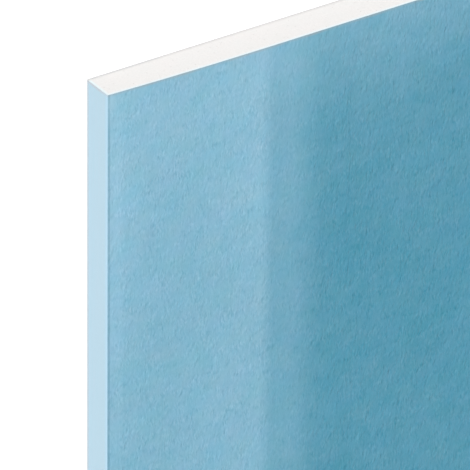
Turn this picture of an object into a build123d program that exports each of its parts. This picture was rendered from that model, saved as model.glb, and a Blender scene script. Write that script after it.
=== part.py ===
from build123d import *

import os
from math import atan2, tan

# A drywall sheet with two tapered long edges and two cut ends, lying flat with its face up.
# Millimetres. X runs across the sheet, Y along its length and Z up, away from the back.
# The origin is the middle of the back, on the surface that the sheet lies on.

# Overall size of the sheet
sheet_length = 2400.0
sheet_width = 1200.0
sheet_thickness = 12.5

# Taper of the face along both long edges, which leaves room for joint tape and filler
taper_width = 55.0
taper_depth = 1.2

# Paper liners, bonded to the gypsum all over
face_liner_thickness = 0.35
back_liner_thickness = 0.30
inside_fold_radius = 0.15

# Lap joint on the back, where the back liner covers the folded-in flap of the face liner
flap_width = 25.0
bare_flap_width = 0.4
joggle_run = 0.8
joggle_radius = 0.5

half_width = sheet_width / 2
long_edge_height = sheet_thickness - taper_depth
fold_radius = inside_fold_radius + face_liner_thickness
joggle_foot_x = half_width - fold_radius - bare_flap_width
joggle_top_x = joggle_foot_x - joggle_run

# The back liner's edge lies where the flap is level again, past the last bend of its joggle
joggle_angle = atan2(back_liner_thickness, joggle_run)
back_liner_half_width = joggle_top_x - joggle_radius * tan(joggle_angle / 2)

# The taper is one long arc, from the fold to the level field, whose end tangents meet half way
taper_middle = taper_width / 2
taper_slope = atan2(taper_depth, taper_middle)
taper_radius = (taper_middle - fold_radius) / tan(taper_slope / 2)

# Outside of the face liner in the cross-section, from the end of one flap round to the end of the other
left_side = [
    (flap_width - half_width, back_liner_thickness),
    (-joggle_top_x, back_liner_thickness),
    (-joggle_foot_x, 0),
    (-half_width, 0),
    (-half_width, long_edge_height),
    (taper_middle - half_width, sheet_thickness),
]
right_side = [(-x, z) for x, z in reversed(left_side)]
left_bends = [joggle_radius, joggle_radius, fold_radius, fold_radius, taper_radius]
skin_bends = left_bends + left_bends[::-1]

# Face liner: one strip of paper that covers the face, wraps both long edges and is folded onto the back
with BuildPart() as face_liner:
    with BuildSketch(Plane.XZ) as liner_section:
        with BuildLine():
            FilletPolyline(*left_side, *right_side, radius=skin_bends)
            offset(amount=face_liner_thickness, side=Side.RIGHT)
        make_face()
    extrude(amount=sheet_length / 2, both=True)

# Gypsum core: fills the folded liner from face to back, and is bare at the two cut ends
with BuildPart() as gypsum_core:
    with BuildSketch(Plane.XZ) as core_section:
        with BuildLine():
            FilletPolyline(*left_side, *right_side, radius=skin_bends)
            Line(right_side[-1], left_side[0])
        make_face()
        add(liner_section.sketch, mode=Mode.SUBTRACT)
    extrude(amount=sheet_length / 2, both=True)

# Back liner: laid over the core and both flaps, and stops short of the long edges
with BuildPart() as back_liner:
    with BuildSketch():
        Rectangle(2 * back_liner_half_width, sheet_length)
    extrude(amount=back_liner_thickness)

os.makedirs("parts", exist_ok=True)
for node, piece in (
    ("face_liner", face_liner),
    ("gypsum_core", gypsum_core),
    ("back_liner", back_liner),
):
    piece.part.label = node
    export_step(piece.part, f"parts/{node}.step")
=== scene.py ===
"""Looks of the drywall sheet: its two papers, its gypsum, a floor, soft light and the camera.

Metres, in the frame of the solids: X across the sheet, Y along its length and Z up, out of the face.
"""

import math
from collections import namedtuple

import bpy
from mathutils import Matrix, Vector


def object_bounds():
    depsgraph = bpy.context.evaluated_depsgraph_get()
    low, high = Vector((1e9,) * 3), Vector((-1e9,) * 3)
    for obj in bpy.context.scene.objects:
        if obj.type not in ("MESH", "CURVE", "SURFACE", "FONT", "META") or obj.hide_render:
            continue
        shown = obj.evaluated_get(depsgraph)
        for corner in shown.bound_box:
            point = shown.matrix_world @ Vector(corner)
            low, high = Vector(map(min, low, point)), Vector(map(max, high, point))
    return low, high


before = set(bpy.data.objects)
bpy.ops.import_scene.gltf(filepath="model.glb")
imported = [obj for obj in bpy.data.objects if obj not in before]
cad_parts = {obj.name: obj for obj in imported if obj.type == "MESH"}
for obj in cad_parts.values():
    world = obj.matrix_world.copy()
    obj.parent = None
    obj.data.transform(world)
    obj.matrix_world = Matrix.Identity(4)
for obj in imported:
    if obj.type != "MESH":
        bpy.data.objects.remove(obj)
solid_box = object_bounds()

MM = 0.001
sheet_high = solid_box[1]
HALF_WIDTH = sheet_high.x
HALF_LENGTH = sheet_high.y
THICKNESS = sheet_high.z

# Taper along both long edges and thickness of the face paper, as in the solids
TAPER_WIDTH = 55 * MM
TAPER_DEPTH = 1.2 * MM
LINER_THICKNESS = 0.35 * MM

# Nearly all values of a noise lie in this range, around this middle
NOISE_RANGE = (0.3, 0.7)
NOISE_MIDDLE = 0.5

# Colours are linear, and tints multiply their red, green and blue
WHITE = (1.0, 1.0, 1.0)
TWICE_THE_RED = (2, 1, 1)
TWICE_THE_BLUE = (1, 1, 2)
TWICE_ALL = (2, 2, 2)

# Face: its blue goes from deep, at a paleness of 0, to pale, at 1. By the distance from the long edge it is
# painted paler over the taper and its ridge, as painted sheen, and deep over the flat field
DEEP_BLUE = (0.095, 0.314, 0.431)
PALE_BLUE = (0.286, 0.532, 0.680)
RIDGE = (TAPER_WIDTH - 2.3 * MM, TAPER_WIDTH + 3.7 * MM)
SHOULDER = (TAPER_WIDTH + 11 * MM, TAPER_WIDTH + 25 * MM)
SHEEN_PALENESS_STOPS = (
    (4.0 * MM, 1.00),
    (6.5 * MM, 0.86),
    (15.0 * MM, 0.76),
    (28.0 * MM, 0.76),
    (TAPER_WIDTH - 10.0 * MM, 0.83),
    (RIDGE[0], 0.86),
    (RIDGE[1], 0.445),
    (TAPER_WIDTH + 8.0 * MM, 0.425),
    (TAPER_WIDTH + 21.5 * MM, 0.045),
    (TAPER_WIDTH + 30.0 * MM, 0.00),
)

# Slow changes of the face: clouds and mottles of paleness, and patches with more or less red or blue
CLOUD_SCALE = 22
CLOUD_PALENESS = 0.14
MOTTLE_SCALE = 160
MOTTLE_PALENESS = 0.13
REDNESS_SCALE = 130
REDNESS = 0.16
BLUENESS_SCALE = 140
BLUENESS = 0.06

# Near the cut ends the face is painted paler, as painted light, and further in the blue deepens. The curve
# of the painted light starts beyond the end, so that it falls at once
END_LIGHT_REACH = (-20 * MM, 42 * MM)
END_LIGHT_SHARE = 0.68
END_LIGHT_PALENESS = 0.95
INNER_REACH = (30 * MM, 120 * MM)
INNER_PALENESS = 0.80

# A dark line of painted shade runs in the crease beside the long edge, and the corners are scuffed
CREASE_SHADE_END = (0.70 * MM, 1.05 * MM)
CREASE_SHADE_TINT = (0.80, 0.79, 0.79)
SCUFF_WIDTH = (0.8 * MM, 4 * MM)
SCUFF_LENGTH = (4 * MM, 13 * MM)
SCUFF_SHARE = 0.2

# Long edge: painted paler than the face as painted sheen, with a bluer painted highlight along its crest,
# greyer along the fold to the back, and finely streaked
EDGE_NORMAL = (0.46, 0.86)
SHEENED_EDGE_BLUE = (0.520, 0.703, 0.812)
CREST_HIGHLIGHT_BLUE = (0.500, 0.722, 0.865)
CREST_HIGHLIGHT_HEIGHT = (THICKNESS - TAPER_DEPTH - 1.6 * MM, THICKNESS - TAPER_DEPTH - 0.8 * MM)
FOLD_BLUE = (0.560, 0.650, 0.710)
FOLD_HEIGHT = (0.6 * MM, 1.4 * MM)
STREAK_SCALE = 900
STREAK_STRETCH = (1, 0.03, 1)
STREAKS = 0.05

# The cut frays the last millimetre of the face and of the long edge
FRAY_REACH = (0.2 * MM, 1.1 * MM)
FRAY_SHARE = 0.45
FRAY_SCALE = 110
UNEVEN_FRAY = (0.6, 1.4)
FACE_FRAY_GREY = (0.360, 0.400, 0.410)
EDGE_FRAY_GREY = (0.600, 0.570, 0.570)

# Fibres of the face paper run along the sheet, slightly askew, in one layer of relief and one of tone
Fibres = namedtuple("Fibres", "scale stretch fuzz on_shoulder in_field")
RELIEF = Fibres(scale=850, stretch=(1, 0.44, 1), fuzz=0.05, on_shoulder=0.86, in_field=1.56)
TONE = Fibres(scale=1900, stretch=(1, 0.33, 1), fuzz=0.22, on_shoulder=0.62, in_field=0.60)
RELIEF_HEIGHT = 0.22 * MM
TONE_PALENESS = 0.64
EDGE_RELIEF = 0.2
SWAY_SCALE = 260
FIBRE_SWAY = (1.6 * MM, 0, 0)
FUZZ_SCALE = 5200
FUZZ_STRETCH = (1, 0.22, 1)
DENSITY_SCALE = 380
DENSITY = (0.4, 1.7)

# Face paper where it is cut
CUT_END_NORMAL = 0.7
CUT_PAPER_OUTSIDE = (0.680, 0.800, 0.860)
CUT_PAPER_INSIDE = (0.800, 0.900, 0.940)
CUT_FLAP = (0.700, 0.710, 0.710)
FLAP_HEIGHT = (0.75 * MM, 1.0 * MM)

# Gypsum: painted shade between its crumbs and in its pores, bluish under the face and duller over the back
GYPSUM_WHITE = (0.907, 0.892, 0.879)
CRUMB_SCALE = 1500
CRUMB_ROUGHNESS = 0.6
CRUMB_SHADE_TINT = (0.96, 0.96, 0.96)
CRUMB_HEIGHT = 0.6
PORE_SCALE = 620
PORE_RADIUS = (0.06, 0.16)
PORE_SHADE_SHARE = 0.6
PORE_SHADE_TINT = (0.80, 0.79, 0.77)
PORE_DEPTH = 0.06 * MM
GYPSUM_REDNESS_SCALE = 150
GYPSUM_REDNESS = 0.02
BLUISH_GYPSUM = (0.860, 0.945, 0.970)
BLUISH_DEPTH = (0.5 * MM, 1.2 * MM)
DULL_GYPSUM = tuple(0.86 * channel for channel in GYPSUM_WHITE)
DULL_HEIGHT = (0.5 * MM, 1.5 * MM)

# Back paper: grey recycled pulp with fibres and flecks
BACK_GREY = (0.470, 0.450, 0.415)
CUT_BACK = (0.665, 0.652, 0.660)
PULP_SCALE = 90
PULP_TONE = 0.12
BACK_FIBRE_SCALE = 1500
BACK_STRETCH = (1, 0.35, 1)
BACK_FIBRE_TONE = 0.22
BACK_RELIEF_HEIGHT = 0.08 * MM
BROWN_SCALE = 760
FLECK_BROWN = (0.250, 0.205, 0.160)
PALE_SCALE = 880
FLECK_PALE = (0.720, 0.710, 0.690)
FLECK_STRETCH = (1, 0.3, 1)
FLECK_LEVEL = (0.74, 0.82)
FLECK_SHARE = 0.5

# Roughness and gloss of the three surfaces
FACE_ROUGHNESS = 0.8
BACK_ROUGHNESS = 0.9
PAPER_GLOSS = 0.2
GYPSUM_ROUGHNESS = 0.95
GYPSUM_GLOSS = 0.1

# Light: a wide sun over the side of the corner that the camera looks at, and an even sky
SUN_TOWARDS = Vector((-0.70, 0.70, 1.0)).normalized()
SUN_STRENGTH = 2.2
SUN_ANGLE = math.radians(25)
SKY_STRENGTH = 0.5

# Floor: just under the sheet, lit as a pale grey, and seen as white apart from the shadow
FLOOR_SIZE = 200
FLOOR_GAP = 0.05 * MM
FLOOR_GREY = (0.8, 0.8, 0.8)
FLOOR_LIFT = 0.12

# Camera: the photograph sees the sheet as if it stood up, from its left and from above
SIDE_TURN = math.radians(33.62)
LOOK_DOWN = math.radians(30.26)
ROLL = math.radians(0.485)
CAMERA_DISTANCE = 3.0
CLIP_START = 0.1
PIXELS_PER_METRE = 3413.9
FRAME_PIXELS = 470
CORNER_PIXEL = (86.68, 79.53)
SENSOR_WIDTH = 36.0


class Nodes:
    """The shader nodes of one material or world."""

    def __init__(self, owner):
        owner.use_nodes = True
        self.tree = owner.node_tree
        self.tree.nodes.clear()

    def add(self, kind, inputs=None, **settings):
        """Adds a node with these settings and inputs, where an input goes by its name or number."""
        node = self.tree.nodes.new("ShaderNode" + kind)
        for name, value in settings.items():
            setattr(node, name, value)
        for name, value in (inputs or {}).items():
            self.feed(node.inputs[name], value)
        return node

    def feed(self, socket, value):
        """Gives a socket another socket's value, a colour, a vector or a number."""
        if isinstance(value, bpy.types.NodeSocket):
            self.tree.links.new(value, socket)
        elif socket.type == "RGBA":
            socket.default_value = (*value, 1)
        else:
            socket.default_value = value

    def math(self, operation, *values):
        return self.add("Math", dict(enumerate(values)), operation=operation).outputs[0]

    def vector_math(self, operation, *values):
        return self.add("VectorMath", dict(enumerate(values)), operation=operation).outputs[0]

    def smooth(self, value, low, high, start=0.0, end=1.0):
        """Goes softly from start to end while value goes from low to high."""
        inputs = {"Value": value, "From Min": low, "From Max": high, "To Min": start, "To Max": end}
        return self.add("MapRange", inputs, interpolation_type="SMOOTHSTEP").outputs["Result"]

    def mix(self, share, first, second):
        """Goes from the first colour to the second one as the share goes from 0 to 1."""
        # Inputs 6 and 7 are the node's two colours, and output 2 is the mixed one
        inputs = {0: share, 6: first, 7: second}
        return self.add("Mix", inputs, data_type="RGBA", clamp_factor=False).outputs[2]

    def tint(self, share, colour, factors):
        """Multiplies a colour by factors as far as share says, and the other way where it is below 0."""
        return self.mix(share, colour, self.vector_math("MULTIPLY", colour, factors))

    def ramp(self, value, stops):
        """Follows the stops' numbers, easing from each one to the next."""
        node = self.add("ValToRGB", {0: value})
        node.color_ramp.interpolation = "EASE"
        elements = node.color_ramp.elements
        while len(elements) < len(stops):
            elements.new(1.0)
        for element, (place, number) in zip(elements, stops):
            element.position = place
            element.color = (number, number, number, 1)
        return node.outputs[0]

    def stretch(self, vector, scale):
        return self.vector_math("MULTIPLY", vector, scale)

    def noise(self, vector, scale, detail=2, roughness=0.5):
        inputs = {"Vector": vector, "Scale": scale, "Detail": detail, "Roughness": roughness}
        return self.add("TexNoise", inputs).outputs[0]

    def centred(self, noise, reach):
        """A noise as a number around 0 that goes as far as reach either way, or a little further."""
        return self.math("MULTIPLY", self.math("SUBTRACT", noise, NOISE_MIDDLE), 2 * reach)

    def surface(self, colour, roughness, gloss, relief, relief_height):
        """Ends a material with a shader of this colour, embossed by the relief."""
        bump = self.add("Bump", {"Height": relief, "Strength": 1.0, "Distance": relief_height})
        inputs = {"Roughness": roughness, "Specular IOR Level": gloss}
        shader = self.add("BsdfPrincipled", {"Base Color": colour, "Normal": bump.outputs[0], **inputs})
        self.add("OutputMaterial", {"Surface": shader.outputs[0]})


class Sheet:
    """Sockets that say where a point is on the sheet."""

    def __init__(self, nodes):
        coordinates = nodes.add("TexCoord")
        self.point = coordinates.outputs["Object"]
        x, y, self.height = nodes.add("SeparateXYZ", {"Vector": self.point}).outputs
        self.from_edge = nodes.math("SUBTRACT", HALF_WIDTH, nodes.math("ABSOLUTE", x))
        self.from_end = nodes.math("SUBTRACT", HALF_LENGTH, nodes.math("ABSOLUTE", y))
        normal = nodes.add("SeparateXYZ", {"Vector": coordinates.outputs["Normal"]})
        _, facing_end, self.facing_up = normal.outputs
        facing_end = nodes.math("ABSOLUTE", facing_end)
        self.on_cut_end = nodes.math("GREATER_THAN", facing_end, CUT_END_NORMAL)

    def depth(self, nodes):
        """How deep a point is under the tapered face or the long edge, whichever is nearer."""
        share = nodes.math("DIVIDE", self.from_edge, TAPER_WIDTH)
        left = nodes.math("MAXIMUM", nodes.math("SUBTRACT", 1, share), 0)
        drop = nodes.math("MULTIPLY", nodes.math("POWER", left, 2), TAPER_DEPTH)
        under_face = nodes.math("SUBTRACT", nodes.math("SUBTRACT", THICKNESS, drop), self.height)
        return nodes.math("MINIMUM", under_face, self.from_edge)


def bend_fibres(nodes, point):
    """Shifts points sideways by a slow noise, so that fibres lie slightly askew."""
    sway = nodes.add("TexNoise", {"Vector": point, "Scale": SWAY_SCALE, "Detail": 1})
    shift = nodes.vector_math("SUBTRACT", sway.outputs["Color"], (NOISE_MIDDLE,) * 3)
    return nodes.vector_math("ADD", point, nodes.stretch(shift, FIBRE_SWAY))


def fibre_grain(nodes, sheet):
    """Relief and tone of short fuzzy fibres, which lie denser in some places than in others."""
    bent = bend_fibres(nodes, sheet.point)
    density = nodes.smooth(nodes.noise(sheet.point, DENSITY_SCALE), *NOISE_RANGE, *DENSITY)
    fuzz = nodes.centred(nodes.noise(nodes.stretch(bent, FUZZ_STRETCH), FUZZ_SCALE), 1)
    grain = []
    for layer in (RELIEF, TONE):
        fibres = nodes.noise(nodes.stretch(bent, layer.stretch), layer.scale, detail=1)
        fibres = nodes.math("SUBTRACT", fibres, NOISE_MIDDLE)
        fibres = nodes.math("ADD", fibres, nodes.math("MULTIPLY", fuzz, layer.fuzz))
        to_shoulder = nodes.smooth(sheet.from_edge, *RIDGE, 1, layer.on_shoulder)
        to_field = nodes.smooth(sheet.from_edge, *SHOULDER, 1, layer.in_field / layer.on_shoulder)
        strength = nodes.math("MULTIPLY", nodes.math("MULTIPLY", to_shoulder, to_field), density)
        grain.append(nodes.math("MULTIPLY", fibres, strength))
    return grain


def face_paleness_and_painted_light(nodes, sheet, tone):
    """How pale the blue is: painted sheen by the distance from the long edges, painted light towards the
    cut ends, clouds and fibres.
    """
    last_stop = SHEEN_PALENESS_STOPS[-1][0]
    across = nodes.math("DIVIDE", sheet.from_edge, last_stop)
    # Painted sheen: paler over the taper and its ridge, deep over the flat field
    pale = nodes.ramp(across, [(place / last_stop, number) for place, number in SHEEN_PALENESS_STOPS])
    # Painted light: the blue deepens further in from the cut ends, and near them it is painted paler
    pale = nodes.math("MULTIPLY", pale, nodes.smooth(sheet.from_end, *INNER_REACH, 1, INNER_PALENESS))
    end_light = nodes.smooth(sheet.from_end, *END_LIGHT_REACH, END_LIGHT_SHARE, 0)
    missing = nodes.math("SUBTRACT", END_LIGHT_PALENESS, pale)
    changes = (
        nodes.math("MULTIPLY", missing, end_light),
        nodes.centred(nodes.noise(sheet.point, CLOUD_SCALE), CLOUD_PALENESS),
        nodes.centred(nodes.noise(sheet.point, MOTTLE_SCALE), MOTTLE_PALENESS),
        nodes.math("MULTIPLY", tone, TONE_PALENESS),
    )
    for change in changes:
        pale = nodes.math("ADD", pale, change)
    return pale


def face_colour(nodes, sheet, tone):
    """Mottled blue with painted shade in the crease beside the long edge, and the scuffed corners."""
    colour = nodes.mix(face_paleness_and_painted_light(nodes, sheet, tone), DEEP_BLUE, PALE_BLUE)
    redness = nodes.centred(nodes.noise(sheet.point, REDNESS_SCALE), REDNESS)
    colour = nodes.tint(redness, colour, TWICE_THE_RED)
    blueness = nodes.centred(nodes.noise(sheet.point, BLUENESS_SCALE), BLUENESS)
    colour = nodes.tint(blueness, colour, TWICE_THE_BLUE)
    # Painted shade in the crease beside the long edge
    colour = nodes.tint(nodes.smooth(sheet.from_edge, *CREASE_SHADE_END, 1, 0), colour, CREASE_SHADE_TINT)
    scuff = nodes.smooth(sheet.from_edge, *SCUFF_WIDTH, SCUFF_SHARE, 0)
    scuff = nodes.math("MULTIPLY", scuff, nodes.smooth(sheet.from_end, *SCUFF_LENGTH, 1, 0))
    return nodes.mix(scuff, colour, SHEENED_EDGE_BLUE)


def edge_colour(nodes, sheet):
    """Pale blue, as painted sheen, with fine streaks along the edge, a painted highlight at its crest and
    another tone at its fold.
    """
    streaks = nodes.noise(nodes.stretch(sheet.point, STREAK_STRETCH), STREAK_SCALE)
    # Painted sheen: the edge's blue is paler than the face's
    colour = nodes.tint(nodes.centred(streaks, STREAKS), SHEENED_EDGE_BLUE, TWICE_THE_RED)
    colour = nodes.mix(nodes.smooth(sheet.height, *FOLD_HEIGHT, 1, 0), colour, FOLD_BLUE)
    # Painted highlight along the crest of the fold
    return nodes.mix(nodes.smooth(sheet.height, *CREST_HIGHLIGHT_HEIGHT), colour, CREST_HIGHLIGHT_BLUE)


def cut_colour(nodes, sheet):
    """The face paper's own thickness on the cut end, paler inside and grey in its flap."""
    inside = nodes.smooth(sheet.depth(nodes), 0, LINER_THICKNESS)
    colour = nodes.mix(inside, CUT_PAPER_OUTSIDE, CUT_PAPER_INSIDE)
    return nodes.mix(nodes.smooth(sheet.height, *FLAP_HEIGHT, 1, 0), colour, CUT_FLAP)


def face_paper(material):
    """Blue paper with a fibre grain along the sheet, painted paler where it tapers and wraps the long
    edges, as painted sheen.
    """
    nodes = Nodes(material)
    sheet = Sheet(nodes)
    relief, tone = fibre_grain(nodes, sheet)
    fray = nodes.smooth(sheet.from_end, *FRAY_REACH, FRAY_SHARE, 0)
    uneven = nodes.smooth(nodes.noise(sheet.point, FRAY_SCALE), *NOISE_RANGE, *UNEVEN_FRAY)
    fray = nodes.math("MULTIPLY", fray, uneven)
    face = nodes.mix(fray, face_colour(nodes, sheet, tone), FACE_FRAY_GREY)
    edge = nodes.mix(fray, edge_colour(nodes, sheet), EDGE_FRAY_GREY)
    on_edge = nodes.smooth(sheet.facing_up, *EDGE_NORMAL, 1, 0)
    colour = nodes.mix(on_edge, face, edge)
    colour = nodes.mix(sheet.on_cut_end, colour, cut_colour(nodes, sheet))
    relief = nodes.math("MULTIPLY", relief, nodes.smooth(on_edge, 0, 1, 1, EDGE_RELIEF))
    nodes.surface(colour, FACE_ROUGHNESS, PAPER_GLOSS, relief, RELIEF_HEIGHT)


def gypsum(material):
    """Off-white gypsum with fine crumbs and pores, toned by the papers beside it."""
    nodes = Nodes(material)
    sheet = Sheet(nodes)
    crumbs = nodes.noise(sheet.point, CRUMB_SCALE, roughness=CRUMB_ROUGHNESS)
    # Painted shade between the crumbs, where the relief is low
    colour = nodes.tint(nodes.smooth(crumbs, *NOISE_RANGE, 1, 0), GYPSUM_WHITE, CRUMB_SHADE_TINT)
    redness = nodes.centred(nodes.noise(sheet.point, GYPSUM_REDNESS_SCALE), GYPSUM_REDNESS)
    colour = nodes.tint(redness, colour, TWICE_THE_RED)
    cells = nodes.add("TexVoronoi", {"Vector": sheet.point, "Scale": PORE_SCALE})
    pores = nodes.smooth(cells.outputs["Distance"], *PORE_RADIUS, 1, 0)
    # Painted shade in the pores
    colour = nodes.tint(nodes.math("MULTIPLY", pores, PORE_SHADE_SHARE), colour, PORE_SHADE_TINT)
    # Bluish white just under the face paper
    colour = nodes.mix(nodes.smooth(sheet.depth(nodes), *BLUISH_DEPTH, 1, 0), colour, BLUISH_GYPSUM)
    colour = nodes.mix(nodes.smooth(sheet.height, *DULL_HEIGHT, 1, 0), colour, DULL_GYPSUM)
    relief = nodes.math("SUBTRACT", nodes.math("MULTIPLY", crumbs, CRUMB_HEIGHT), pores)
    nodes.surface(colour, GYPSUM_ROUGHNESS, GYPSUM_GLOSS, relief, PORE_DEPTH)


def back_paper(material):
    """Grey recycled paper: cloudy pulp, fine fibres along the sheet and scattered brown and pale flecks."""
    nodes = Nodes(material)
    sheet = Sheet(nodes)
    bent = bend_fibres(nodes, sheet.point)
    pulp = nodes.noise(sheet.point, PULP_SCALE, detail=3)
    fibres = nodes.noise(nodes.stretch(bent, BACK_STRETCH), BACK_FIBRE_SCALE)
    tone = nodes.math("ADD", nodes.centred(pulp, PULP_TONE), nodes.centred(fibres, BACK_FIBRE_TONE))
    colour = nodes.tint(tone, BACK_GREY, TWICE_ALL)
    for scale, fleck in ((BROWN_SCALE, FLECK_BROWN), (PALE_SCALE, FLECK_PALE)):
        flecks = nodes.noise(nodes.stretch(bent, FLECK_STRETCH), scale, detail=0)
        colour = nodes.mix(nodes.smooth(flecks, *FLECK_LEVEL, 0, FLECK_SHARE), colour, fleck)
    colour = nodes.mix(sheet.on_cut_end, colour, CUT_BACK)
    nodes.surface(colour, BACK_ROUGHNESS, PAPER_GLOSS, fibres, BACK_RELIEF_HEIGHT)


def dress(node, name, finish):
    """Gives a solid's node one procedural material."""
    material = bpy.data.materials.new(name)
    finish(material)
    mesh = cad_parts[node].data
    mesh.materials.clear()
    mesh.materials.append(material)


def seen_directly(nodes):
    """1 for what the camera sees, also by reflection or through glass."""
    path = nodes.add("LightPath")
    seen = nodes.math("MAXIMUM", path.outputs["Is Camera Ray"], path.outputs["Is Glossy Ray"])
    return nodes.math("MAXIMUM", seen, path.outputs["Is Transmission Ray"])


def make_floor():
    """A wide white floor that keeps the sheet's shadow."""
    bpy.ops.mesh.primitive_plane_add(size=FLOOR_SIZE, location=(0, 0, -FLOOR_GAP))
    floor = bpy.context.object
    floor.name = "floor"
    material = bpy.data.materials.new("floor_white")
    nodes = Nodes(material)
    plain = nodes.add("BsdfDiffuse", {"Color": FLOOR_GREY})
    bright = nodes.add("BsdfDiffuse", {"Color": WHITE})
    lift = nodes.add("Emission", {"Color": WHITE, "Strength": FLOOR_LIFT})
    lifted = nodes.add("AddShader", {0: bright.outputs[0], 1: lift.outputs[0]})
    seen = seen_directly(nodes)
    choice = nodes.add("MixShader", {0: seen, 1: plain.outputs[0], 2: lifted.outputs[0]})
    nodes.add("OutputMaterial", {"Surface": choice.outputs[0]})
    floor.data.materials.append(material)


def make_light():
    """A soft sun and an even sky that shows white."""
    lamp = bpy.data.lights.new("sun", "SUN")
    lamp.energy = SUN_STRENGTH
    lamp.angle = SUN_ANGLE
    sun = bpy.data.objects.new("sun", lamp)
    sun.rotation_euler = SUN_TOWARDS.to_track_quat("Z", "Y").to_euler()
    bpy.context.scene.collection.objects.link(sun)

    world = bpy.data.worlds.new("sky")
    nodes = Nodes(world)
    strength = nodes.smooth(seen_directly(nodes), 0, 1, SKY_STRENGTH, 1)
    sky = nodes.add("Background", {"Color": WHITE, "Strength": strength})
    nodes.add("OutputWorld", {"Surface": sky.outputs[0]})
    bpy.context.scene.world = world


def make_camera():
    """A long lens that looks at one corner of the sheet, rolled so that the cut end is at the top."""
    right = Vector((math.cos(SIDE_TURN), 0, math.sin(SIDE_TURN)))
    up = Vector((
        math.sin(LOOK_DOWN) * math.sin(SIDE_TURN),
        math.cos(LOOK_DOWN),
        -math.sin(LOOK_DOWN) * math.cos(SIDE_TURN),
    ))
    back = right.cross(up)
    right, up = (
        math.cos(ROLL) * right + math.sin(ROLL) * up,
        math.cos(ROLL) * up - math.sin(ROLL) * right,
    )
    corner = Vector((-HALF_WIDTH, HALF_LENGTH, 0))
    across = (CORNER_PIXEL[0] - FRAME_PIXELS / 2) / PIXELS_PER_METRE
    above = (FRAME_PIXELS / 2 - CORNER_PIXEL[1]) / PIXELS_PER_METRE

    data = bpy.data.cameras.new("camera")
    data.sensor_width = SENSOR_WIDTH
    data.lens = SENSOR_WIDTH * PIXELS_PER_METRE * CAMERA_DISTANCE / FRAME_PIXELS
    data.clip_start = CLIP_START
    camera = bpy.data.objects.new("camera", data)
    turn = Matrix((right, up, back)).transposed().to_4x4()
    place = corner - across * right - above * up + CAMERA_DISTANCE * back
    camera.matrix_world = Matrix.Translation(place) @ turn
    bpy.context.scene.collection.objects.link(camera)
    bpy.context.scene.camera = camera


make_camera()
dress("face_liner", "face_paper", face_paper)
dress("gypsum_core", "gypsum", gypsum)
dress("back_liner", "back_paper", back_paper)
make_floor()
make_light()
bpy.context.scene.view_settings.view_transform = "Standard"
